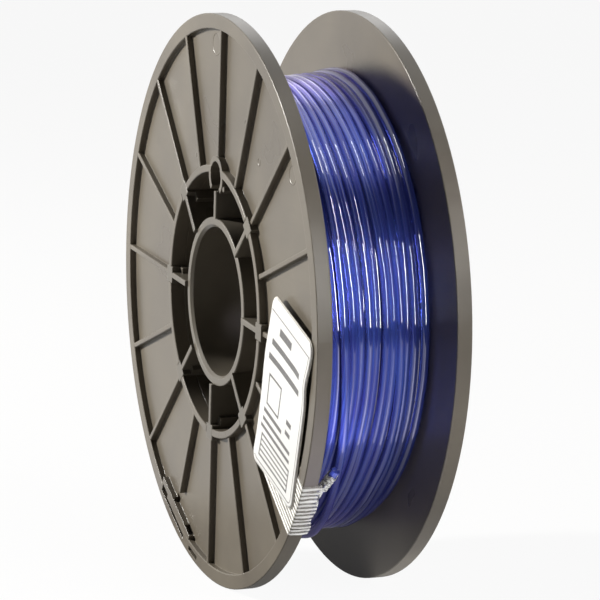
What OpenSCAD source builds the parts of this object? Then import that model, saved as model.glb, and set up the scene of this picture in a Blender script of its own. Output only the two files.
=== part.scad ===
// Ribbed plastic reel wound with clear blue monofilament, with a label flap taped over its rim.
// The reel stands on its rims. Its axis is Y, Z is up, and the origin is the middle of the bore.

/* [Reel] */
// Diameter of the flanges
flange_d = 200; // [180:1:230]
// Width over both flanges
reel_w = 54; // [46:0.5:70]
// Turn of the spoke pattern from upright, in degrees
pattern_turn = -5; // [-20:1:20]

/* [Flange] */
// Thickness of a flange at its rim
flange_t = 5.3; // [4.8:0.1:7]
// Thickness of the flange plate between its ribs
web_t = 3.2; // [2.6:0.1:4]
// Radial width of the raised rim band
rim_w = 5.2; // [4.6:0.1:8]
// Width of a radial rib
rib_w = 1.8; // [1.4:0.1:3]
// Chamfer on the rim, the ribs and the spokes
edge_c = 0.25; // [0.1:0.05:0.5]

/* [Hub] */
// How far the hub's face stands proud of the rim's face
hub_proud = 0.5; // [0.2:0.1:1]
// Diameter of the bore
bore_d = 52; // [44:0.5:56]
// Wall of the arbor tube
arbor_wall = 3.5; // [2.5:0.1:5]
// How far the arbor tube ends below the hub's face
arbor_recess = 1; // [0.4:0.1:2]
// Chamfer of the bore's mouth
mouth_c = 1; // [0.3:0.1:1.2]
// Outer diameter of the winding drum
drum_d = 95.5; // [91:0.5:104]
// Wall of the winding drum
drum_wall = 2.6; // [2:0.1:3.4]
// How far the drum sits inside the flange's inner face
drum_seat = 0.6; // [0.3:0.1:1]
// Number of spokes
spoke_n = 8; // [6:1:10]
// Width of a spoke
spoke_w = 2.1; // [1.5:0.1:3]
// Width of a spoke's T-head
head_w = 6; // [4:0.1:8]
// Length of the T-head on each side of the collar
head_out = 1.5; // [0.6:0.1:2]
// Length of the T-head inside the collar
head_in = 1.2; // [0.8:0.1:3.5]
// Depth of the T-head
head_t = 3; // [2.5:0.1:3.6]
// Radial depth of the dowel column behind a T-head
column_l = 4; // [3.6:0.1:6]
// Diameter of a dowel
dowel_d = 2.4; // [1.6:0.1:2.8]
// Length of a dowel
dowel_l = 16; // [8:0.5:24]

/* [Drive hole] */
// Diameter of the drive hole
drive_d = 10.4; // [8:0.1:12]
// How far the hole's centre lies inside the drum's inner wall
drive_inset = 0.8; // [0.2:0.1:2]
// Wall around the drive hole
drive_wall = 1.8; // [1.2:0.1:2.4]
// Angle over which the hole is open towards the bore
drive_open = 84; // [60:1:88]
// Floor left under the hole above the drum's seat
drive_floor = 0.8; // [0.5:0.1:1.2]
// Diameter of the small post beside the hole
post_d = 1.8; // [1.2:0.1:2.2]

/* [Line clip] */
// Direction of the clip from +X, in degrees
clip_angle = -119.9; // [-135:0.1:-110]
// Length of the clip's bar
clip_l = 33; // [26:0.5:36]
// Width of the clip's bar
clip_w = 4; // [3:0.1:5]
// Width of the slot behind the bar
clip_slot = 1.6; // [1:0.1:1.8]
// Diameter of the hole that the line's end goes through
line_hole_d = 3; // [2.6:0.1:3.2]

/* [Filament] */
// Diameter of the monofilament
strand_d = 2.85; // [2.2:0.05:3]
// Diameter over the full winding
fill_d = 163.8; // [140:0.2:168]
// Gap that the layers keep from the flanges
side_gap = 0.25; // [0.1:0.05:1]

/* [Label and tape] */
// Width of the label card
label_w = 38; // [26:0.5:42]
// Height of the label card
label_h = 62; // [45:0.5:66]
// Thickness of the printed card and of its backing
label_t = 0.3; // [0.2:0.05:0.6]
// Corner radius of the card
label_r = 4; // [1:0.5:8]
// Direction of the card's centre from +X, in degrees
label_angle = -19; // [-30:0.1:-12]
// Distance from the rim to the card's centre
label_inset = 26; // [26:0.1:32]
// Turn of the card in the flange's plane, in degrees
label_turn = -19; // [-30:1:-10]
// How far the card's lower edge stands off the flange
label_lift = 1.5; // [0.5:0.1:3]
// Width of the tape that holds the card and the line's end
tape_w = 23; // [14:0.5:26]
// Thickness of the tape
tape_t = 0.25; // [0.15:0.05:0.4]
// Direction of the tape from +X, in degrees
tape_angle = -36; // [-42:1:-32]
// Length of the tape under the card
tape_l = 40; // [28:1:44]
// How far the tape reaches past the rim's inner edge
tape_over = 1; // [0:0.1:2]
// Length of the tape wrapped around the line's end
wrap_l = 8; // [5:0.5:10]

/* [Hidden] */
$fn = 96;

// Clearance between pieces that are pressed or glued together
fit_gap = 0.05;
// Amount by which a cut passes the face that it opens
cut = 1;

// The two faces of a flange and of its plate, as distances from the mid-plane
z_out = reel_w / 2;
z_in = z_out - flange_t;
z_web = z_in + web_t;
z_rib = z_out - 0.05;
z_hub = z_out + hub_proud;

flange_r = flange_d / 2;
drum_r = drum_d / 2;
drum_ri = drum_r - drum_wall;
bore_r = bore_d / 2;
arbor_r = bore_r + arbor_wall;
arbor_z = z_hub - arbor_recess;

// The first spoke carries the drive hole, and each second rib lines up with a spoke
spoke_pitch = 360 / spoke_n;
spoke_angle = 90 + pattern_turn;
drive_cr = drum_ri - drive_inset;
drive_r = drive_d / 2;
drive_z = z_in + drum_seat + drive_floor;
dowel_cr = drum_ri - column_l / 2;

strand_r = strand_d / 2;
layer_rise = strand_d * sin(60);
outer_r = fill_d / 2 - strand_r;
strands = floor(2 * (z_in - side_gap) / strand_d);

// Faces of the tape and the card, counted outwards from the near flange
tape_y = -z_out;
backing_y = tape_y - tape_t;
card_y = backing_y - label_t;
fold_r = flange_r + tape_t;

// Puts a half of the reel, drawn with its outer face up, on the near side
module near_side() {
    rotate([90, 0, 0]) children();
}

// The same half turned over, about an axis between two spokes, so that both halves' spokes meet
module far_side() {
    over = spoke_angle - 1.5 * spoke_pitch;
    rotate([90, 0, 0]) rotate(a = 180, v = [cos(over), sin(over), 0]) children();
}

// Bar of a given width along +X from r0 to r1, with both top edges chamfered
module bar(r0, r1, width, z0, z1) {
    translate([r0, 0, 0]) rotate([90, 0, 90]) linear_extrude(r1 - r0)
        polygon([[-width / 2, z0], [width / 2, z0], [width / 2, z1 - edge_c],
            [width / 2 - edge_c, z1], [edge_c - width / 2, z1], [-width / 2, z1 - edge_c]]);
}

// ---- Flanges -------------------------------------------------------------------------------

// Turned part of the flange: plate, rim band and the collar around the hub
module flange_disc() {
    seat_r = drum_r + fit_gap;
    band_r = flange_r - rim_w;
    rotate_extrude($fn = 180) polygon([
        [drum_ri, z_in + drum_seat], [seat_r, z_in + drum_seat], [seat_r, z_in],
        [flange_r - edge_c, z_in], [flange_r, z_in + edge_c],
        [flange_r, z_out - edge_c], [flange_r - edge_c, z_out],
        [band_r + edge_c, z_out], [band_r, z_out - edge_c], [band_r, z_web],
        [drum_r, z_web], [drum_r, z_hub - edge_c], [drum_r - edge_c, z_hub],
        [drum_ri + edge_c, z_hub], [drum_ri, z_hub - edge_c]]);
}

// Radial ribs from the collar to the rim band, twice as many as there are spokes.
// The one that runs to the clip stops short of it.
module flange_ribs() {
    for (i = [0 : 2 * spoke_n - 1]) {
        angle = spoke_angle + i * spoke_pitch / 2;
        to_clip = cos(angle - clip_angle) > cos(spoke_pitch / 4);
        rotate(angle)
            bar(drum_r - drum_wall / 2, to_clip ? clip_d - 7 : flange_r - rim_w / 2, rib_w,
                z_web - cut, z_rib);
    }
}

// Wall around the drive hole, which bulges out of the collar on both sides. It starts at the
// hole's floor and ends just short of the collar's face.
boss_h = z_hub - 0.1 - drive_z;

module drive_boss() {
    rotate(spoke_angle) translate([drive_cr, 0, drive_z])
        cylinder(r = drive_r + drive_wall, h = boss_h);
}

// Small post beside the hole's wall, held by a low web
module drive_post() {
    reach = drive_r + drive_wall + post_d / 2 + 0.6;
    turn = 180 + drive_open / 2 + 26;
    rotate(spoke_angle) translate([drive_cr, 0, drive_z + 0.1]) rotate(turn) {
        translate([reach, 0, 0]) cylinder(d = post_d, h = boss_h - 0.2, $fn = 32);
        translate([drive_r + drive_wall / 2, -post_d / 4, 0])
            cube([reach - drive_r - drive_wall / 2, post_d / 2, boss_h / 2]);
    }
}

// Space of the drive hole: blind over the drum, open towards the bore
module drive_hole() {
    rotate(spoke_angle) {
        translate([drive_cr, 0, drive_z]) cylinder(r = drive_r, h = flange_t);
        reach = drive_r + drive_wall + cut;
        half = reach * tan(drive_open / 2);
        translate([drive_cr, 0, z_in - cut]) linear_extrude(2 * flange_t)
            polygon([[0, 0], [-reach, half], [-reach, -half]]);
    }
}

// Notches in the collar and the plate that take the T-heads, one at each spoke but the first
module head_notches() {
    width = head_w + 2 * fit_gap;
    for (i = [1 : spoke_n - 1])
        rotate(spoke_angle + i * spoke_pitch)
            translate([drum_ri - cut, -width / 2, z_hub - head_t - fit_gap])
                cube([drum_wall + head_out + fit_gap + cut, width, head_t + cut]);
}

// The clip lies along a chord just inside the rim: a bar that the line's end is tucked behind.
// clip_d is the distance of the bar's inner wall from the axis, clip_from the bar's upper end.
clip_d = flange_r - rim_w - 3.6;
clip_from = 3.5 - clip_l / 2;

module clip_bar() {
    rotate(clip_angle) translate([clip_d, clip_from, z_web - cut])
        cube([clip_w + clip_slot / 2, clip_l, z_rib - z_web + cut]);
}

// Slots through the flange behind the bar and in the rim band, and the ways through the bar
module clip_cuts() {
    slot_d = clip_d + clip_w;
    deep = flange_t + 2 * cut;
    hole_z = z_out - 0.4 - line_hole_d / 2;
    rotate(clip_angle) {
        translate([slot_d, clip_from + 1, z_in - cut]) cube([clip_slot, clip_l * 0.82, deep]);
        translate([slot_d - 1.4, clip_from + 1, z_in - cut]) cube([clip_slot, clip_l * 0.18, deep]);
        translate([clip_d - 2, 0, hole_z]) rotate([0, 90, 0])
            cylinder(d = line_hole_d, h = clip_w + 2 + clip_slot / 2, $fn = 32);
        translate([clip_d - cut, 13.8, z_web - 0.2])
            cube([clip_w / 2 + cut, 5.4, z_rib - z_web - 0.2]);
    }
    rotate(clip_angle + 15.5) translate([flange_r - rim_w + 1.8, -4.5, z_in - cut])
        cube([clip_slot, 9, deep]);
}

module flange() {
    difference() {
        union() {
            flange_disc();
            flange_ribs();
            drive_boss();
            drive_post();
            clip_bar();
        }
        drive_hole();
        head_notches();
        clip_cuts();
    }
}

module near_flange() {
    color("#9a9283") near_side() flange();
}

module far_flange() {
    color("#9a9283") far_side() flange();
}

// ---- Winding drum --------------------------------------------------------------------------

start_angle = spoke_angle - spoke_pitch / 2;
start_z = z_in - side_gap - strand_r;

module drum() {
    difference() {
        cylinder(r = drum_r, h = z_in + drum_seat - fit_gap);
        translate([0, 0, -cut]) cylinder(r = drum_ri, h = z_out + 2 * cut);
    }
}

module near_drum() {
    color("#4a4540") near_side() difference() {
        drum();
        // hole for the inner end of the filament
        rotate(start_angle) translate([drum_ri - cut, 0, start_z]) rotate([0, 90, 0])
            cylinder(d = strand_d + 0.3, h = drum_wall + 2 * cut);
    }
}

module far_drum() {
    color("#4a4540") far_side() drum();
}

// ---- Arbor and spokes ----------------------------------------------------------------------

// Half of the arbor tube, ending below the rim's face, with a chamfered mouth
module arbor() {
    rotate_extrude($fn = 120) polygon([
        [bore_r, 0], [arbor_r, 0], [arbor_r, arbor_z - edge_c], [arbor_r - edge_c, arbor_z],
        [bore_r + mouth_c, arbor_z], [bore_r, arbor_z - mouth_c]]);
}

module near_arbor() {
    color("#857e72") near_side() arbor();
}

module far_arbor() {
    color("#857e72") far_side() arbor();
}

// Spoke from the arbor to the drum, with its dowel column and its T-head in the collar
module spoke() {
    end_r = drum_ri - fit_gap;
    bar(arbor_r - arbor_wall / 2, end_r - head_in / 2, spoke_w, 0, z_hub);
    dowel_column(z_hub - head_t);
    bar(end_r - head_in, drum_r + head_out, head_w, z_hub - head_t, z_hub);
}

// The first spoke stops short of the drive hole and reaches the drum below the flange only
module drive_spoke() {
    bar(arbor_r - arbor_wall / 2, drive_cr - drive_r - fit_gap, spoke_w, 0, z_hub);
    bar(drive_cr - drive_r - cut, drum_ri - column_l / 2, spoke_w, 0, z_in - fit_gap);
    dowel_column(z_in - fit_gap);
}

module dowel_column(top) {
    intersection() {
        translate([drum_ri - column_l, -head_w / 2, 0]) cube([column_l, head_w, top]);
        cylinder(r = drum_ri - fit_gap, h = top);
    }
}

// All the spokes of one half, fitted around the arbor
module spokes() {
    difference() {
        union() {
            rotate(spoke_angle) drive_spoke();
            for (i = [1 : spoke_n - 1])
                rotate(spoke_angle + i * spoke_pitch) spoke();
        }
        translate([0, 0, -cut]) cylinder(r = arbor_r + fit_gap, h = z_hub + 2 * cut, $fn = 120);
        for (i = [0 : spoke_n - 1])
            rotate(spoke_angle + i * spoke_pitch) translate([dowel_cr, 0, -cut])
                cylinder(r = dowel_d / 2 + 0.02, h = dowel_l / 2 + fit_gap + cut, $fn = 32);
    }
}

module near_spokes() {
    color("#857e72") near_side() spokes();
}

module far_spokes() {
    color("#857e72") far_side() spokes();
}

// Dowels across the mid-plane, which line the two sets of spokes up
module hub_dowels() {
    color("#5a544c") near_side()
        for (i = [0 : spoke_n - 1])
            rotate(spoke_angle + i * spoke_pitch) translate([dowel_cr, 0, -dowel_l / 2])
                cylinder(d = dowel_d, h = dowel_l, $fn = 32);
}

// ---- Filament ------------------------------------------------------------------------------

// Inner end of the filament, put through the drum's wall into a pocket of the hub
module filament_start() {
    inside = 9;
    color("#2f3a9c") near_side()
        rotate(start_angle) translate([drum_ri - inside, 0, start_z]) rotate([0, 90, 0])
            cylinder(d = strand_d, h = inside + drum_wall, $fn = 32);
}

// One closed layer of turns: a row of strands joined by a thin neck
module layer(radius, count) {
    rotate([90, 0, 0]) rotate_extrude($fn = 144) {
        for (i = [0 : count - 1])
            translate([radius, (i - (count - 1) / 2) * strand_d]) circle(r = strand_r, $fn = 24);
        translate([radius - strand_r / 2, -(count - 1) / 2 * strand_d])
            square([strand_r, (count - 1) * strand_d]);
    }
}

// All the layers that lie below the two outermost ones
module filament_pack() {
    bottom = drum_r + fit_gap;
    top = outer_r - layer_rise - strand_r - fit_gap;
    half = strands * strand_d / 2;
    color("#232a7d") rotate([90, 0, 0]) rotate_extrude($fn = 144)
        translate([bottom, -half]) square([top - bottom, 2 * half]);
}

module filament_under_layer() {
    color("#2b3390") layer(outer_r - layer_rise, strands - 1);
}

module filament_outer_layer() {
    color("#3b46b8") layer(outer_r, strands);
}

// Last turns, which lie loose on the outer layer and end at the tape.
// Each row is the angle from +X, the place between the flanges as a share of half the gap, and
// the lift of the strand's centre above the place where it lies on the outer layer.
tail_route = [[-30, -0.58, 8.9], [-36, -0.72, 6.9], [-45, -0.84, 5.2], [-55, -0.9, 3.4],
    [-65, -0.9, 1.4], [-75, -0.9, 0.2], [-120, -0.89, 0], [-200, -0.84, 0], [-280, -0.7, 0],
    [-340, -0.52, 0], [-370, -0.44, 0], [-386, -0.41, 0], [-399, -0.33, 0.1], [-416, -0.15, 0.2],
    [-426, -0.08, 0.3], [-437, 0, 0.2], [-455, 0.09, 0], [-480, 0.14, 0]];
tail_seat = outer_r + strand_d + 0.2;
tail_step = 6;

// Centre of the loose strand at an angle
function tail_point(a) =
    let(y = lookup(a, [for (p = tail_route) [p[0], p[1]]]) * z_in,
        r = tail_seat + lookup(a, [for (p = tail_route) [p[0], p[2]]]))
    [r * cos(a), y, r * sin(a)];

function unit(v) = v / norm(v);

// Tube of round section along a list of points
module tube(points, radius, sides) {
    last = len(points) - 1;
    rings = [for (i = [0 : last])
        let(along = unit(points[min(i + 1, last)] - points[max(i - 1, 0)]),
            side = unit(cross(along, [0, 1, 0])), up = cross(side, along))
        for (s = [0 : sides - 1])
            points[i] + radius * (cos(360 * s / sides) * side + sin(360 * s / sides) * up)];
    skin = [for (i = [0 : last - 1], s = [0 : sides - 1])
        let(a = i * sides + s, b = i * sides + (s + 1) % sides)
        each [[a, b, b + sides], [a, b + sides, a + sides]]];
    ends = [[for (s = [sides - 1 : -1 : 0]) s], [for (s = [0 : sides - 1]) last * sides + s]];
    polyhedron(points = rings, faces = concat(skin, ends), convexity = 8);
}

module filament_tail() {
    first = tail_route[0][0];
    turns = first - tail_route[len(tail_route) - 1][0];
    steps = round(turns / tail_step);
    color("#4450c8")
        tube([for (i = [0 : steps]) tail_point(first - i * turns / steps)], strand_r, 8);
}

// ---- Label and tape ------------------------------------------------------------------------

// Sheet of the card's outline, flat on the flange above and curling off it towards its lower edge
module card_sheet(y, width, height) {
    bend = height * 0.45;
    steps = 8;
    function off(s) = label_lift * pow(s / bend, 2);
    run = [for (i = [0 : steps]) bend * i / steps];
    top = height / 2;
    start = bend - top;
    front = concat([[top, 0]], [for (s = run) [start - s, off(s)]]);
    back = [for (i = [len(front) - 1 : -1 : 0]) front[i] + [0, label_t]];
    rotate([0, -label_angle, 0]) translate([flange_r - label_inset, y, 0])
        rotate([0, label_angle - label_turn, 0]) intersection() {
            rotate([0, 90, 0]) translate([0, 0, -width / 2]) linear_extrude(width)
                polygon([for (p = concat(front, back)) [-p[0], -p[1]]]);
            rotate([90, 0, 0]) translate([0, 0, -cut]) linear_extrude(label_lift + 2 * cut)
                rounded(width, height, label_r);
        }
}

module rounded(width, height, radius) {
    for (a = [0, 90]) {
        x = a == 0 ? width : width - 2 * radius;
        y = a == 0 ? height - 2 * radius : height;
        square([x, y], center = true);
    }
    for (x = [-1, 1], y = [-1, 1])
        translate([x * (width / 2 - radius), y * (height / 2 - radius)]) circle(r = radius, $fn = 32);
}

module label_backing() {
    color("#e4e2dc") card_sheet(backing_y, label_w, label_h);
}

module label_card() {
    color("#fbfaf7") card_sheet(card_y, label_w - 1, label_h - 1);
}

// Tape on the flange's face, from just inside the fold to under the card
module tape_flap() {
    color("#e9e6e2") rotate([0, -tape_angle, 0])
        translate([fold_r - 1 - tape_l, backing_y, -tape_w / 2])
            cube([tape_l, tape_t, tape_w]);
}

// Tape around the rim's cylinder
module tape_rim() {
    half = asin(tape_w / 2 / flange_r);
    color("#e9e6e2") rotate([90, 0, 0]) rotate(tape_angle - half)
        translate([0, 0, z_in - tape_over])
            rotate_extrude(angle = 2 * half, $fn = 360)
                translate([flange_r + fit_gap / 2, 0]) square([tape_t, flange_t + tape_over]);
}

// End of the tape: a strip that leaves the rim's inner edge and is rolled around the line's end
module tape_end_wrap() {
    first = tail_route[0][0];
    base = tail_point(first - tail_step);
    along = unit(tail_point(first) - base);
    roll_r = strand_r + 0.15;
    edge_r = flange_r + fit_gap / 2 + tape_t / 2;
    edge_y = tape_t / 2 - (z_in - tape_over);
    edge_mid = (tape_angle + first) / 2;
    to_edge = [edge_r * cos(edge_mid), edge_y, edge_r * sin(edge_mid)] - base;
    across = unit(to_edge - (to_edge * along) * along);
    color("#e9e6e2") {
        translate(base) rotate([0, acos(along[2]), atan2(along[1], along[0])]) difference() {
            cylinder(r = roll_r + tape_t, h = wrap_l, $fn = 32);
            translate([0, 0, -cut]) cylinder(r = roll_r, h = wrap_l + 2 * cut, $fn = 32);
        }
        hull() {
            for (a = [edge_mid - 1.6, edge_mid + 1.6])
                rotate([0, -a, 0]) translate([edge_r, edge_y, 0]) cube(tape_t, center = true);
            for (part = [0.1, 0.7])
                translate(base + part * wrap_l * along + (roll_r + tape_t / 2) * across)
                    cube(tape_t * 0.6, center = true);
        }
    }
}

near_flange();
far_flange();
near_drum();
far_drum();
near_arbor();
far_arbor();
near_spokes();
far_spokes();
hub_dowels();
filament_start();
filament_pack();
filament_under_layer();
filament_outer_layer();
filament_tail();
label_card();
label_backing();
tape_flap();
tape_rim();
tape_end_wrap();
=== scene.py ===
import math
import bmesh
import bpy
import numpy as np
from mathutils import Matrix, Vector


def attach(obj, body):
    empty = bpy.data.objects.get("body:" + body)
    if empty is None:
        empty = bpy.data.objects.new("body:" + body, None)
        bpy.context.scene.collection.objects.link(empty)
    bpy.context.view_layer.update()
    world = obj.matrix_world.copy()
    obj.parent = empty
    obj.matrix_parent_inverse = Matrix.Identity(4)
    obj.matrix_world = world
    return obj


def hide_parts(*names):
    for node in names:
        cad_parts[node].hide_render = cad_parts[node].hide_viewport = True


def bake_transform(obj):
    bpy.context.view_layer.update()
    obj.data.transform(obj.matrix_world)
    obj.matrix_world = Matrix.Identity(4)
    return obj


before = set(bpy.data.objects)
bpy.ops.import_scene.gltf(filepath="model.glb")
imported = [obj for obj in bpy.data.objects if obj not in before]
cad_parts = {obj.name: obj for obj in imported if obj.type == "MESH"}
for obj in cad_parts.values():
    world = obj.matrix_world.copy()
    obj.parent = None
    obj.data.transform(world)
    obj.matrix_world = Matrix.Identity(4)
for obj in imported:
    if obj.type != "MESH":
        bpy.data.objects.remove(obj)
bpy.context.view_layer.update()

# ---- Camera ---------------------------------------------------------------------------------
# A long lens a little above the bore, which looks across the reel so that its labelled flange
# is seen aslant at the left and the winding fills the gap to the far flange.
PICTURE = 600  # side of the rendered picture, in pixels
FOCAL_LENGTH = 3156.6  # in pixels
AXIS_X, AXIS_Y = 286.276, 297.817  # where the lens's axis meets the picture, in pixels
SENSOR = 36  # millimetres
DISTANCE = 1.1065
azimuth, elevation, roll = (math.radians(a) for a in (69.41, 8.069, -0.073))
back = Vector((math.sin(azimuth) * math.cos(elevation),
               -math.cos(azimuth) * math.cos(elevation), math.sin(elevation)))
level = Vector((math.cos(azimuth), math.sin(azimuth), 0))
upright = back.cross(level)
side = level * math.cos(roll) + upright * math.sin(roll)
top = upright * math.cos(roll) - level * math.sin(roll)
lens = bpy.data.cameras.new("camera")
lens.sensor_width = SENSOR
lens.lens = SENSOR * FOCAL_LENGTH / PICTURE
lens.shift_x = (PICTURE / 2 - AXIS_X) / PICTURE
lens.shift_y = (AXIS_Y - PICTURE / 2) / PICTURE
lens.clip_start, lens.clip_end = 0.05, 20
camera = bpy.data.objects.new("camera", lens)
bpy.context.scene.collection.objects.link(camera)
camera.matrix_world = Matrix.Translation(back * DISTANCE) @ Matrix(
    (side, top, back)).transposed().to_4x4()
bpy.context.scene.camera = camera


# ---- Reel halves ----------------------------------------------------------------------------
# Each half is injection moulded in a grey-brown plastic with a fine satin grain. The melt's flow
# leaves faint clouds in it, its edges are painted pale as wear and as a painted highlight, and
# ejector pins leave round marks.
def node_maker(tree):
    """A maker of shader nodes: it is given a node's kind and what feeds its sockets in order. A
    keyword in lower case sets a property, and any other feeds the socket of that name."""

    def feed(socket, value):
        if isinstance(value, bpy.types.NodeSocket):
            tree.links.new(value, socket)
        else:
            socket.default_value = value

    def node(kind, *inputs, out=0, **settings):
        made = tree.nodes.new("ShaderNode" + kind)
        for key, value in settings.items():
            if key[0].islower():
                setattr(made, key, value)
            else:
                feed(made.inputs[key.replace("_", " ")], value)
        for socket, value in zip(made.inputs, inputs):
            if value is not None:
                feed(socket, value)
        return made.outputs[out]

    def mix(factor, one, other):
        made = tree.nodes.new("ShaderNodeMix")
        made.data_type = "RGBA"
        for index, value in ((0, factor), (6, one), (7, other)):
            feed(made.inputs[index], value)
        return made.outputs[2]

    def math_node(operation, *inputs, clamp=False):
        return node("Math", *inputs, operation=operation, use_clamp=clamp)

    def shade(socket, value):
        feed(tree.nodes["Principled BSDF"].inputs[socket], value)

    node.mix, node.math, node.shade = mix, math_node, shade
    return node


def new_finish(name, **values):
    """A material with a Principled shader, and a maker of further nodes in it."""
    finish = bpy.data.materials.new(name)
    finish.use_nodes = True
    node = node_maker(finish.node_tree)
    for socket, value in values.items():
        node.shade(socket.replace("_", " "), value)
    return finish, node


def spread(node, value, low, high, to_low=0.0, to_high=1.0):
    """A value between low and high, brought between to_low and to_high and held at both ends."""
    return node("MapRange", value, low, high, to_low, to_high)


def moulded_plastic(name, pale, deep, rubbed_and_highlit, marks=()):
    """Satin plastic; each mark of an ejector pin is its x and z on the flange and its radius."""
    finish, node = new_finish(name, Roughness=0.3, Specular_IOR_Level=0.35)
    place = node("TexCoord", out=3)
    x, y, z = (node("SeparateXYZ", place, out=i) for i in range(3))
    clouds = node("TexNoise", place, Scale=22.0, Detail=3.0, Roughness=0.6)
    streaks = node("TexNoise", node("Mapping", place, Scale=(40, 90, 420)), Scale=1.0, Detail=2.0)
    grain = node("TexNoise", place, Scale=2600.0, Detail=2.0)
    body = node.mix(spread(node, clouds, 0.35, 0.65), (*deep, 1), (*pale, 1))
    body = node.mix(spread(node, streaks, 0.5, 0.75, 0.0, 0.18), body, (*deep, 1))
    # pale edges, a painted highlight with some wear: where the shading normal of a slightly rounded
    # edge leaves that of the flat face, the colour is painted paler
    face = node("NewGeometry", out=3)
    edge = node("Bevel", 0.0004, samples=4)
    flat = node("VectorMath", face, edge, operation="DOT_PRODUCT", out=1)
    wear_and_edge_highlight = spread(node, flat, 0.985, 0.86, 0.0, 0.4)
    body = node.mix(node.math("MULTIPLY", wear_and_edge_highlight, spread(node, clouds, 0.3, 0.6, 0.45, 1.0)),
                    body, (*rubbed_and_highlit, 1))
    node.shade("Base Color", body)
    node.shade("Roughness", spread(node, clouds, 0.3, 0.7, 0.26, 0.36))
    height = node.math("MULTIPLY", grain, 0.012)
    # the marks are on the outer faces of the plates alone
    outside = spread(node, node.math("ABSOLUTE", y), 0.0235, 0.0242)
    for mark_x, mark_z, radius in marks:
        away = node("VectorMath", node("CombineXYZ", x, 0.0, z), (mark_x, 0, mark_z),
                    operation="DISTANCE", out=1)
        ring = spread(node, node.math("ABSOLUTE", node.math("SUBTRACT", away, radius)),
                      0.00005, 0.0004, 1.0, 0.0)
        dish = spread(node, away, radius - 0.0003, radius, 0.5, 0.0)
        step = node.math("MULTIPLY", node.math("SUBTRACT", ring, dish), outside)
        height = node.math("ADD", height, node.math("MULTIPLY", step, 0.12))
    node.shade("Normal", node("Bump", Strength=1.0, Distance=0.001, Height=height, Normal=edge))
    return finish


def dress(name, finish):
    """Gives the frame's solid a finish in each of its slots."""
    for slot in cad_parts[name].material_slots:
        slot.material = finish


ejector_marks = [(-0.0017, 0.0893, 0.0038), (0.0722, 0.0510, 0.0031), (0.0406, 0.0524, 0.0012)]
# the last colour of each finish paints its edges pale, as wear and as a painted highlight
reel_finish = moulded_plastic("reel_plastic", (0.148, 0.130, 0.102), (0.112, 0.097, 0.077),
                              (0.30, 0.275, 0.22), ejector_marks)
for name in ("near_flange", "far_flange", "near_drum", "far_drum"):
    dress(name, reel_finish)

hub_finish = moulded_plastic("hub_plastic", (0.145, 0.13, 0.104), (0.105, 0.093, 0.075),
                             (0.42, 0.40, 0.34))
for name in ("near_arbor", "far_arbor", "near_spokes", "far_spokes", "hub_dowels"):
    dress(name, hub_finish)


# ---- Filament -------------------------------------------------------------------------------
# One strand of clear blue extruded plastic, 2.85 mm thick, wound turn beside turn between the
# flanges. The turns have settled since: some lie closer or lower than others, those at the bottom
# hang a little, and the last one lies loose on the rest and ends at the tape.
STRAND = 0.00285
HALF_GAP = 0.0217
OUTER = 0.080475  # radius to the strand's centre in the top layer, where it is wound tight
SEAT = OUTER + STRAND - 0.0002  # the same for the loose turn, which lies on that layer
LAYER_STEP = 0.00247
UNDER_START = -0.0189  # where the layer under the top one begins, beside the near flange
TOP_TURNS, UNDER_TURNS = 14, 13.2
PER_TURN = 144  # points of the strand's path in each turn
# the loose turn: degrees unwound, place as a share of half the gap, millimetres above the seat
loose_turn = [(-30, -0.58, 8.9), (-36, -0.72, 6.9), (-45, -0.84, 5.2), (-55, -0.9, 3.4),
              (-65, -0.9, 1.4), (-75, -0.9, 0.2), (-120, -0.89, 0), (-200, -0.76, 0),
              (-262, -0.5, 0), (-285, -0.41, 0), (-294, -0.48, 0), (-303, -0.54, 0),
              (-318, -0.52, 0), (-350, -0.5, 0), (-363, -0.475, 0), (-371, -0.435, 0),
              (-383, -0.365, 0), (-395, -0.31, 0.1), (-406, -0.235, 0.2), (-421, -0.11, 0.4),
              (-437, 0, 0.3), (-455, 0.09, 0), (-480, 0.14, 0), (-520, 0.3, 0),
              (-555, 0.56, -0.1), (-585, 0.76, -0.6), (-602, 0.86, -1.6), (-618, 0.917, -3.05)]
# millimetres from the middle of each turn of the top layer, at six angles around the bore
turn_places = {
    75: (19.4, 16.3, 13.3, 10.1, 7.1, 4.0, 1.2, -1.6, -4.4, -7.2, -10.0, -12.9, -15.8, -18.6),
    44: (19.0, 15.4, 13.6, 9.5, 6.2, 3.7, 0.5, -2.2, -6.0, -8.6, -11.3, -14.0, -16.8, -19.5),
    9.5: (19.3, 15.3, 12.9, 10.4, 7.9, 5.6, 1.5, -0.5, -4.0, -6.4, -9.6, -12.4, -15.3, -18.2),
    -12: (19.4, 15.7, 12.9, 11.1, 8.0, 5.5, 1.8, 0.0, -3.3, -5.6, -8.4, -11.1, -14.0, -16.9),
    -30: (18.9, 15.5, 13.2, 11.5, 7.5, 4.6, 1.0, -0.6, -3.9, -6.0, -8.4, -10.8, -13.8, -16.8),
    -50: (17.9, 14.0, 12.4, 9.8, 6.4, 3.5, 0.9, -0.5, -3.9, -6.4, -9.2, -12.0, -15.0, -18.0)}
turn_sinks = {2: 0.3, 7: 0.5, 10: 0.4}  # millimetres by which some turns lie deeper
top_from = loose_turn[-1][0]
top_layer = [(top_from, 19.9, 0)]
for turn in range(TOP_TURNS):
    for angle, places in turn_places.items():
        travel = top_from - (top_from % 360 - angle) - 360 * turn
        top_layer.append((travel, places[turn], turn_sinks.get(turn, 0)))
top_to = top_layer[-1][0]
loose_rows = np.array(loose_turn)[::-1]
top_rows = np.array(top_layer)[::-1]


def ease(value, low, high):
    """A smooth rise from zero at low to one at high."""
    t = min(1.0, max(0.0, (value - low) / (high - low)))
    return t * t * (3 - 2 * t)


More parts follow.
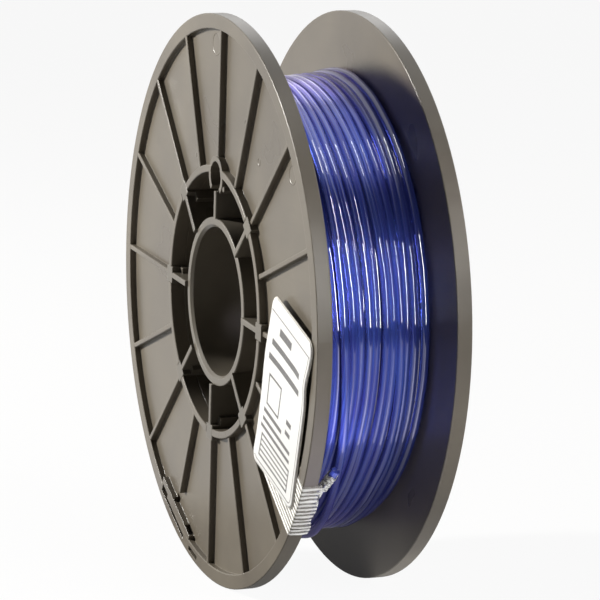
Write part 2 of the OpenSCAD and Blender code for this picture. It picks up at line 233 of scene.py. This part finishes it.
def settled(angle, across):
    """How much closer to the bore the winding lies than one wound full and tight, in metres."""
    around = (math.degrees(angle) + 180) % 360 - 180
    # in millimetres, with hollows at the top away from the far flange and beside it at the bottom
    drop = np.interp(around, (-180, -120, -95, -75, -50, -28, 10, 40, 60, 90, 130, 180),
                     (1.0, 0.6, 0.1, 0.4, 1.2, 1.0, 1.9, 1.5, 1.9, 1.6, 1.4, 1.0))
    drop += 2.9 * math.exp(-((around - 92) / 42) ** 2) * (
        1 - math.exp(-max(0.0, 0.0195 - across) / 0.009))
    drop += 1.9 * math.exp(-((around + 68) / 20) ** 2) * ease(across, 0.0145, 0.0172)
    return drop * 0.001


def wound(travel):
    """The strand's centre where it has been unwound by an angle, in degrees below zero."""
    angle = math.radians(travel)
    if travel >= top_from:
        across = np.interp(travel, loose_rows[:, 0], loose_rows[:, 1]) * HALF_GAP
        lift = np.interp(travel, loose_rows[:, 0], loose_rows[:, 2]) * 0.001
        return angle, across, SEAT + lift - settled(angle, across) * ease(-travel, 85, 125)
    wander = 0.00012 * math.sin(1.31 * angle + 0.4) * math.sin(0.173 * angle)
    if travel >= top_to:
        across = np.interp(travel, top_rows[:, 0], top_rows[:, 1]) * 0.001 + wander
        sink = np.interp(travel, top_rows[:, 0], top_rows[:, 2]) * 0.001
        return angle, across, OUTER - sink - settled(angle, across)
    # the layer under it, wound the other way
    turns = (top_to - travel) / 360
    down = ease(turns, 0.0, 0.3)
    across = UNDER_START + STRAND * (0.5 * down - 0.4 * (1 - down) + max(0.0, turns - 0.3))
    return angle, across, OUTER - LAYER_STEP * down - settled(angle, across)


start, stop = loose_turn[0][0], top_to - 360 * UNDER_TURNS
count = int((start - stop) / 360 * PER_TURN)
route = np.array([wound(t) for t in np.linspace(start, stop, count)])
# the stiff strand takes no sharp bend, so its places and radii are smoothed along it
kernel = np.hanning(15)[1:-1]
kernel /= kernel.sum()
for column in (1, 2):
    padded = np.concatenate([2 * route[0, column] - route[6:0:-1, column], route[:, column],
                             2 * route[-1, column] - route[-2:-8:-1, column]])
    route[:, column] = np.convolve(padded, kernel, "valid")
# short waves left by the winding machine, out of step from turn to turn
ripple = 0.00005 * np.sin(27.37 * route[:, 0]) + 0.00006 * np.sin(19.21 * route[:, 0] + 1.0)
route[:, 2] += ripple * np.clip((-40 - np.degrees(route[:, 0])) / 60, 0, 1)
strand_path = np.stack([route[:, 2] * np.cos(route[:, 0]), route[:, 1],
                        route[:, 2] * np.sin(route[:, 0])], 1)
shape = bpy.data.curves.new("filament_strand", "CURVE")
shape.dimensions = "3D"
shape.bevel_depth = STRAND / 2
shape.bevel_resolution = 6
shape.use_fill_caps = True
spline = shape.splines.new("POLY")
spline.points.add(count - 1)
spline.points.foreach_set("co", np.c_[strand_path, np.ones(count)].ravel())
spline.use_smooth = True
rolled = bpy.data.objects.new("rolled_strand", shape)
bpy.context.scene.collection.objects.link(rolled)
bpy.context.view_layer.update()
filament = bpy.data.objects.new("filament", bpy.data.meshes.new_from_object(rolled))
bpy.data.objects.remove(rolled)
bpy.context.scene.collection.objects.link(filament)


def shade_smooth(mesh):
    for face in mesh.polygons:
        face.use_smooth = True


def finished(bm, name):
    """The piece that a bmesh holds, as an object of that name."""
    mesh = bpy.data.meshes.new(name)
    bm.to_mesh(mesh)
    bm.free()
    shade_smooth(mesh)
    piece = bpy.data.objects.new(name, mesh)
    bpy.context.scene.collection.objects.link(piece)
    return piece


# the inner turns, one ridged body of the same plastic between the drum and the outer turns; its
# section has a point for each quarter of a strand, and every fourth is a groove
DRUM = 0.04795
CORE = 0.06  # only what lies outside this radius has settled
ridges = [(-HALF_GAP + 0.0002 + STRAND * i / 4, OUTER - 0.0034 - 0.0003 * (i % 4 == 0))
          for i in range(61) if -HALF_GAP + STRAND * i / 4 < HALF_GAP - 0.0003]
ridges = [(ridges[0][0], DRUM)] + ridges + [(ridges[-1][0], DRUM)]
bm = bmesh.new()
section = [bm.verts.new((radius, across, 0)) for across, radius in ridges]
outline = [bm.edges.new((section[i - 1], section[i])) for i in range(len(section))]
bmesh.ops.spin(bm, geom=section + outline, cent=(0, 0, 0), axis=(0, 1, 0), dvec=(0, 0, 0),
               angle=2 * math.pi, steps=120, use_merge=True)
for vert in bm.verts:
    out = math.hypot(vert.co.x, vert.co.z)
    if out > CORE:
        scale = 1 - settled(math.atan2(vert.co.z, vert.co.x), vert.co.y) / out
        vert.co.x *= scale
        vert.co.z *= scale
bmesh.ops.recalc_face_normals(bm, faces=bm.faces)
inner_turns = finished(bm, "filament_inner_turns")


def clear_blue(name):
    """Clear plastic: the surface of each strand reflects as a coat, while the light that comes
    back through it fills its width, so the body is shaded with little of the strand's roundness."""
    # its faint blue emission is painted light, a glow that stands in for light passing through the
    # clear turns
    finish, node = new_finish(name, Roughness=0.23, IOR=1.5, Metallic=0.85,
                              Specular_Tint=(0.8, 0.66, 1.0, 1), Emission_Strength=1.0,
                              Emission_Color=(0.003, 0.004, 0.024, 1),
                              Coat_Weight=1.0, Coat_Roughness=0.04, Coat_IOR=1.9)
    place = node("TexCoord", out=3)
    clouds = node("TexNoise", place, Scale=55.0, Detail=2.0)
    along = node("TexNoise", node("Mapping", place, Scale=(26, 2300, 26)), Scale=1.0, Detail=2.5)
    body = node.mix(spread(node, along, 0.34, 0.66), (0.016, 0.024, 0.17, 1),
                    (0.034, 0.066, 0.30, 1))
    body = node.mix(spread(node, clouds, 0.45, 0.7, 0.0, 0.5), body, (0.026, 0.024, 0.21, 1))
    # painted shade: darker in the grooves between the turns, where the surface turns away from
    # straight out
    outward = node("VectorTransform", node("VectorMath", place, (1, 0, 1), operation="MULTIPLY"),
                   vector_type="NORMAL", convert_from="OBJECT", convert_to="WORLD")
    outward = node("VectorMath", outward, operation="NORMALIZE")
    across = node("NewGeometry", out=1)
    facing = node("VectorMath", outward, across, operation="DOT_PRODUCT", out=1)
    body = node.mix(spread(node, facing, 0.2, 0.65, 0.45, 0.0), body, (0.008, 0.009, 0.08, 1))
    node.shade("Base Color", body)
    round_part = node("VectorMath", across, operation="SCALE", Scale=0.06)
    inner = node("VectorMath", outward, round_part, operation="ADD")
    node.shade("Normal", node("VectorMath", inner, operation="NORMALIZE"))
    wet = node("TexNoise", node("Mapping", place, Scale=(9, 330, 9)), Scale=1.0, Detail=1.0)
    node.shade("Coat Weight", spread(node, wet, 0.38, 0.6, 0.3, 1.0))
    return finish


filament_finish = clear_blue("filament_blue")
filament.data.materials.append(filament_finish)
inner_turns.data.materials.append(filament_finish)
shade_smooth(filament.data)
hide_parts("filament_under_layer", "filament_outer_layer", "filament_tail")
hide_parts("filament_pack")
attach(filament, "reel")
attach(inner_turns, "reel")
dress("filament_start", filament_finish)


# ---- Label card and its backing -------------------------------------------------------------
# A printed card of coated paper on a second ply of backing paper, both with rounded corners. It
# lies close to the flange, and its edges stand off in shallow waves.
CARD = Vector((0.06997, 0, -0.02409))  # the card's middle
CARD_TURN = math.radians(19)
CARD_ACROSS = Vector((math.cos(CARD_TURN), 0, -math.sin(CARD_TURN)))
CARD_UP = Vector((math.sin(CARD_TURN), 0, math.cos(CARD_TURN)))
PRINT_WIDTH, PRINT_HEIGHT = 0.0372, 0.0612


def stands_off(u, v):
    """How far the card stands off the flange at a place across and up it, in metres."""
    left = 0.0005 * math.exp(-((v - 0.009) / 0.012) ** 2) * ease(-u, 0.002, 0.019)
    right = 0.0008 * math.exp(-((v - 0.0160) / 0.0060) ** 2) * ease(u, 0.006, 0.019)
    lower = 0.0004 * ease(-v, 0.018, 0.031) * ease(-u, -0.004, 0.018)
    return left + right + lower


def face_outward(bm):
    """Turns a sheet's faces away from the flange under it."""
    bmesh.ops.recalc_face_normals(bm, faces=bm.faces)
    if sum(face.normal.y for face in bm.faces) > 0:
        bmesh.ops.reverse_faces(bm, faces=bm.faces)


def card_ply(name, width, height, lift, thick, radius):
    """One ply, whose face lies at a lift from the reel's middle."""
    bm = bmesh.new()
    bm.loops.layers.uv.new("UVMap")
    bmesh.ops.create_grid(bm, x_segments=44, y_segments=72, size=0.5, calc_uvs=True)
    bmesh.ops.scale(bm, vec=(width, height, 1), verts=bm.verts)
    for vert in bm.verts:
        u, v = vert.co.x, vert.co.y
        # corners: the grid's outermost rows are drawn in to the rounded outline
        cu, cv = abs(u) - (width / 2 - radius), abs(v) - (height / 2 - radius)
        if cu > 0 and cv > 0:
            reach = max(cu, cv) / math.hypot(cu, cv)
            u = math.copysign(width / 2 - radius + cu * reach, u)
            v = math.copysign(height / 2 - radius + cv * reach, v)
        vert.co = CARD + CARD_ACROSS * u + CARD_UP * v + Vector(
            (0, -lift - stands_off(u, v), 0))
    face_outward(bm)
    ply = finished(bm, name)
    wall = ply.modifiers.new("thickness", "SOLIDIFY")
    wall.thickness = thick
    wall.offset = -1
    return ply


backing = card_ply("label_back_ply", width=0.038, height=0.062, lift=0.0275, thick=0.0003,
                   radius=0.004)
liner, node = new_finish("liner_paper", Roughness=0.7)
fibre = node("TexNoise", node("TexCoord", out=3), Scale=900.0, Detail=4.0)
node.shade("Base Color", node.mix(spread(node, fibre, 0.35, 0.65), (0.62, 0.6, 0.55, 1),
                                  (0.74, 0.72, 0.67, 1)))
node.shade("Normal", node("Bump", Strength=0.3, Distance=0.0002, Height=fibre))
backing.data.materials.append(liner)
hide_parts("label_backing")
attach(backing, "label_flap")

card = card_ply("label_print_card", PRINT_WIDTH, PRINT_HEIGHT, lift=0.0278, thick=0.00028,
                radius=0.0037)
paper, node = new_finish("label_paper", Roughness=0.38, Coat_Weight=0.25, Coat_Roughness=0.2)
u, v = (node("SeparateXYZ", node("TexCoord", out=2), out=i) for i in range(2))
across = node.math("MULTIPLY", u, 1000 * PRINT_WIDTH)
up = node.math("MULTIPLY", v, 1000 * PRINT_HEIGHT)


def bar(left, right, low, high, soft=0.12):
    """One where a printed bar is, on the card's millimetres from its lower left corner."""
    covered = spread(node, across, left - soft, left + soft)
    for edge in (spread(node, across, right + soft, right - soft),
                 spread(node, up, low - soft, low + soft),
                 spread(node, up, high + soft, high - soft)):
        covered = node.math("MULTIPLY", covered, edge)
    return covered


# the printed form: the left, right, low and high side of each bar, in millimetres
border = [(0.6, 36.2, 56.0, 56.4), (35.4, 35.8, 1.8, 56.2), (0.6, 35.6, 1.4, 1.8)]
headings = [(9.5, 20.5, 50.6, 53.4), (4.5, 30.5, 45.2, 47.4), (3.5, 31.5, 39.6, 41.8)]
box_and_bars = [(5.5, 17.0, 23.4, 35.0), (24.0, 28.5, 25.6, 27.4), (24.0, 28.5, 22.0, 23.6)]
lines = [(4.0, 21.0, 20.0, 21.5), (4.0, 30.0, 16.8, 18.2), (3.0, 30.5, 13.9, 15.2)]
panel = (4.5, 31.5, 3.6, 12.2)
box_inside = (6.3, 16.2, 24.2, 34.2)
panel_rows = [(5.3, 30.7, low, low + 1.25) for low in (4.4, 6.3, 8.2, 10.1)]
printed = 0.0
for block in border + headings + box_and_bars + lines + [panel]:
    printed = node.math("MAXIMUM", printed, bar(*block))
for hollow in [box_inside] + panel_rows:
    printed = node.math("SUBTRACT", printed, bar(*hollow), clamp=True)
speck = node("TexNoise", node("TexCoord", out=3), Scale=4200.0, Detail=1.0)
inked = node.math("MULTIPLY", printed, spread(node, speck, 0.25, 0.5, 0.72, 0.95))
cast = node("TexNoise", node("TexCoord", out=3), Scale=60.0, Detail=2.0)
sheet = node.mix(spread(node, cast, 0.35, 0.65), (0.70, 0.70, 0.69, 1), (0.74, 0.745, 0.74, 1))
node.shade("Base Color", node.mix(inked, sheet, (0.035, 0.03, 0.03, 1)))
node.shade("Normal", node("Bump", Strength=0.15, Distance=0.0002, Height=cast))
card.data.materials.append(paper)
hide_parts("label_card")
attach(card, "label_flap")


# ---- Tape strap -----------------------------------------------------------------------------
# Clear packing film with white strands along it. It comes out from under the label, folds over
# the flange's rim, follows it to the inner edge in small waves, and hinges the label there.
FLANGE = 0.1
FLANGE_FACE = -0.02709
FOLD = math.radians(-36)
out_way = Vector((math.cos(FOLD), 0, math.sin(FOLD)))
tape_way = Vector((-math.sin(FOLD), 0, math.cos(FOLD)))
FACE_LENGTH, RIM_LENGTH, TAPE_WIDTH = 0.040, 0.0066, 0.023
FACE_REACH = 0.0392  # how far in from the rim it starts


def strap_place(along, across):
    """Place of the film at a distance along it from its inner end, and across from its middle."""
    edge = math.sqrt(FLANGE ** 2 - across ** 2)
    wave = math.sin(across * 2 * math.pi / 0.0041 + 0.7) + 0.5 * math.sin(across * 4300)
    if along < FACE_LENGTH:
        t = along / FACE_LENGTH
        radial = edge - FACE_REACH * (1 - t)
        slack = 0.00006 * wave * (1 - ease(t, 0.93, 1.0))
        return out_way * radial + tape_way * across + Vector((0, FLANGE_FACE - slack, 0))
    t = (along - FACE_LENGTH) / RIM_LENGTH
    angle = FOLD + math.asin(across / FLANGE)
    puff = 0.00010 + 0.00022 * max(0.0, wave) * math.sin(math.pi * ease(t, 0.0, 1.2))
    skew = 0.0004 * math.sin(across * 640 + 1.0) * t
    radius = FLANGE + puff
    return Vector((radius * math.cos(angle), FLANGE_FACE + t * RIM_LENGTH + skew,
                   radius * math.sin(angle)))


bm = bmesh.new()
bm.loops.layers.uv.new("UVMap")
bmesh.ops.create_grid(bm, x_segments=84, y_segments=138, size=0.5, calc_uvs=True)
for vert in bm.verts:
    vert.co = strap_place((vert.co.x + 0.5) * (FACE_LENGTH + RIM_LENGTH),
                          vert.co.y * TAPE_WIDTH)
face_outward(bm)
bmesh.ops.solidify(bm, geom=bm.faces[:], thickness=-0.00007)
strap = finished(bm, "tape_strap")


def film(name, strands, strand_share):
    """Clear film with strands of white yarn that run along its first UV direction."""
    finish, node = new_finish(name, Roughness=0.22, IOR=1.48)
    uv = node("TexCoord", out=2)
    drift = node("TexNoise", uv, Scale=9.0, Detail=2.0)
    place = node.math("ADD", node.math("MULTIPLY", node("SeparateXYZ", uv, out=1), float(strands)),
                      node.math("MULTIPLY", drift, 0.5))
    place = node.math("FRACT", place)
    from_middle = node.math("ABSOLUTE", node.math("SUBTRACT", place, 0.5))
    thread = spread(node, from_middle, strand_share / 2 + 0.05, strand_share / 2 - 0.05)
    twist = node("TexNoise", node("Mapping", uv, Scale=(160, 420, 1)), Scale=1.0, Detail=2.0)
    node.shade("Base Color", node.mix(thread, (0.62, 0.6, 0.56, 1), (0.93, 0.93, 0.91, 1)))
    node.shade("Alpha", spread(node, thread, 0.0, 1.0, 0.22, 0.97))
    node.shade("Roughness", spread(node, thread, 0.0, 1.0, 0.12, 0.55))
    bulge = node.math("ADD", node.math("MULTIPLY", thread, 0.7),
                      node.math("MULTIPLY", twist, 0.3))
    node.shade("Normal", node("Bump", Strength=0.8, Distance=0.0002, Height=bulge))
    return finish


strap.data.materials.append(film("strapping_film", 13, 0.5))
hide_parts("tape_flap", "tape_rim")
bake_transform(strap)


# ---- Tape around the filament's end ---------------------------------------------------------
# The strap's end leaves the rim's inner edge as a creased ribbon and is rolled around the last
# few millimetres of the filament, whose cut end stands out of the roll.
ROLL_LENGTH, ROLL_TURNS = 0.0072, 1.08
ROLL_BACK = 0.0098  # how far from the cut end the roll starts
end_from, end_to = Vector(strand_path[3]), Vector(strand_path[0])
end_way = (end_to - end_from).normalized()
roll_base = end_to - end_way * ROLL_BACK
first_cross = end_way.cross(Vector((0, 1, 0))).normalized()
second_cross = end_way.cross(first_cross)
bm = bmesh.new()
bm.loops.layers.uv.new("UVMap")
bmesh.ops.create_grid(bm, x_segments=40, y_segments=48, size=0.5, calc_uvs=True)
for vert in bm.verts:
    s, turn = vert.co.y + 0.5, (vert.co.x + 0.5) * 2 * math.pi * ROLL_TURNS
    radius = STRAND / 2 + 0.00012 + 0.00010 * (1 + math.sin(5 * turn + 22 * s)) + 0.00012 * (
        turn / (2 * math.pi))
    ragged = 0.0005 * math.sin(3 * turn) * (1 if s > 0.5 else 0.4)
    centre = roll_base + end_way * (0.0002 + s * ROLL_LENGTH + ragged * s)
    vert.co = centre + (first_cross * math.cos(turn) + second_cross * math.sin(turn)) * radius
bmesh.ops.recalc_face_normals(bm, faces=bm.faces)
bmesh.ops.solidify(bm, geom=bm.faces[:], thickness=0.00006)

RIM_EXIT = math.radians(-33)
EXIT_RADIUS = 0.10012
leaves = Vector((EXIT_RADIUS * math.cos(RIM_EXIT), -0.0206, EXIT_RADIUS * math.sin(RIM_EXIT)))
arrives = roll_base + end_way * 0.0024
rim_along = Vector((-math.sin(RIM_EXIT), 0, math.cos(RIM_EXIT)))
sag_way = (arrives - leaves).cross(rim_along).normalized()
ribbon = bmesh.ops.create_grid(bm, x_segments=16, y_segments=6, size=0.5, calc_uvs=True)["verts"]
for vert in ribbon:
    s, w = vert.co.x + 0.5, vert.co.y
    width = rim_along.lerp(end_way, ease(s, 0.1, 0.9)) * (0.0062 - 0.0012 * s)
    sag = sag_way * 0.0004 * math.sin(9 * w + 4 * s)
    vert.co = leaves.lerp(arrives, s) + width * w + sag
tape_roll = finished(bm, "tape_roll")
tape_roll.data.materials.append(film("rolled_film", 6, 0.78))
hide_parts("tape_end_wrap")
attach(tape_roll, "reel")


# ---- Studio ---------------------------------------------------------------------------------
# A white paper sweep in a white room that is dark in front. A key light at the upper left gives
# form, and fills at the right and on the table lift the rims and the lowest turns. The other
# lights, which only reflections see, colour the winding and run down each strand as a line.
def soft_light(name, place, wide, high, radiance, colour=(1, 1, 1), aim=(0, 0, 0),
               diffuse=False, glossy=True):
    """An area light of an even radiance; wide is its size along the reel's axis. It lights matt
    surfaces if it is diffuse, and shows in reflections if it is glossy."""
    lamp = bpy.data.lights.new(name, "AREA")
    lamp.shape = "RECTANGLE"
    lamp.size, lamp.size_y = wide, high
    lamp.energy = radiance * math.pi * wide * high
    lamp.color = colour
    stand = bpy.data.objects.new(name, lamp)
    bpy.context.scene.collection.objects.link(stand)
    way = (Vector(place) - Vector(aim)).normalized()
    broad = (Vector((0, 1, 0)) - way * way.y).normalized()
    stand.matrix_world = Matrix.Translation(place) @ Matrix(
        (broad, way.cross(broad), way)).transposed().to_4x4()
    stand.visible_camera = False
    stand.visible_diffuse = diffuse
    stand.visible_glossy = glossy


soft_light("key_light", (-0.81, -1.25, 0.59), 0.16, 0.16, 575, (1.0, 0.975, 0.93), diffuse=True)
soft_light("rim_fill", (0.85, 0.35, 0.25), 0.5, 0.5, 9, diffuse=True, glossy=False)
soft_light("front_panel", (0.55, 0.21, 0.13), 0.16, 0.36, 0.98, (0.96, 0.98, 1.0),
           aim=(0, 0.21, 0.13))
soft_light("upper_panel", (0.31, 0.37, 0.357), 0.2, 0.3, 0.9, (0.96, 0.94, 1.0))
soft_light("overhead_panel", (0.04, 0.21, 0.54), 0.16, 0.52, 0.55, (0.96, 0.98, 1.0),
           aim=(0.04, 0.21, 0))
soft_light("back_panel", (-0.42, 0.22, 0.42), 0.2, 0.3, 1.6, aim=(0, 0.22, 0))
soft_light("front_strip", (0.55, 0.02, 0.14), 0.034, 0.37, 85, aim=(0, 0.02, 0.14))
soft_light("upper_strip", (0.35, 0.42, 0.36), 0.03, 0.27, 80, (1.0, 0.88, 0.95))
soft_light("overhead_strip", (0.145, 0.02, 0.54), 0.024, 0.21, 42, aim=(0.145, 0.02, 0))
soft_light("table_card", (0.25, 0.0, -0.0985), 0.046, 0.31, 2.7, (0.85, 0.8, 1.0),
           aim=(0.25, 0, 0.2))
soft_light("low_fill", (0.055, 0.04, -0.0985), 0.08, 0.05, 1.8, (0.9, 0.93, 1.0),
           aim=(0.055, 0.04, 0.2), diffuse=True, glossy=False)

TABLE_HEIGHT = -0.10005
bm = bmesh.new()
bmesh.ops.create_grid(bm, x_segments=1, y_segments=1, size=6)
bmesh.ops.translate(bm, vec=(0, 0, TABLE_HEIGHT), verts=bm.verts)
table = finished(bm, "table")
paper_white, node = new_finish("table_white", Roughness=0.9, Specular_IOR_Level=0.0)
camera_ray, glossy_ray = (node("LightPath", out=i) for i in (0, 3))
node.shade("Base Color", node.mix(camera_ray, (0.34, 0.33, 0.32, 1), (0.85, 0.85, 0.85, 1)))
# in reflections the table glows, as painted light: white behind the reel, dim under it as a painted
# shadow of the reel, and white again in front as far as the room's dark part
ahead = node("SeparateXYZ", node("TexCoord", out=3), out=0)
glow_with_painted_shadow = node.math("MAXIMUM", spread(node, ahead, 0.03, 0.13, 0.24, 1.15),
                        spread(node, ahead, -0.15, -0.12, 1.0, 0.24))
mirrored = node.math("MULTIPLY", glow_with_painted_shadow, spread(node, ahead, 0.4, 0.45, 1.0, 0.02))
glow = node("Emission", (1, 1, 1, 1), node.math("MAXIMUM", camera_ray, mirrored))
share = node.math("MAXIMUM", node.math("MULTIPLY", camera_ray, 0.93), glossy_ray)
tree = paper_white.node_tree
both = node("MixShader", share, tree.nodes["Principled BSDF"].outputs[0], glow)
tree.links.new(both, tree.nodes["Material Output"].inputs[0])
table.data.materials.append(paper_white)

world = bpy.data.worlds.new("studio")
bpy.context.scene.world = world
world.use_nodes = True
tree = world.node_tree
node = node_maker(tree)
ambient = tree.nodes["Background"]
ambient.inputs["Color"].default_value = (0.95, 0.97, 1.0, 1)
ambient.inputs["Strength"].default_value = 0.015
in_front = node("SeparateXYZ", node("TexCoord", out=0), out=0)
lit = spread(node, in_front, 0.1, 0.45, 1.0, 0.04)
camera_ray, glossy_ray, transmitted_ray = (node("LightPath", out=i) for i in (0, 3, 6))
direct = node.math("MAXIMUM", camera_ray, transmitted_ray)
white = node("Background", (1, 1, 1, 1), node.math("MAXIMUM", direct, lit))
shown = node.math("MAXIMUM", direct, glossy_ray)
both = node("MixShader", shown, ambient.outputs[0], white)
tree.links.new(both, tree.nodes["World Output"].inputs[0])

bpy.context.scene.view_settings.view_transform = "Standard"
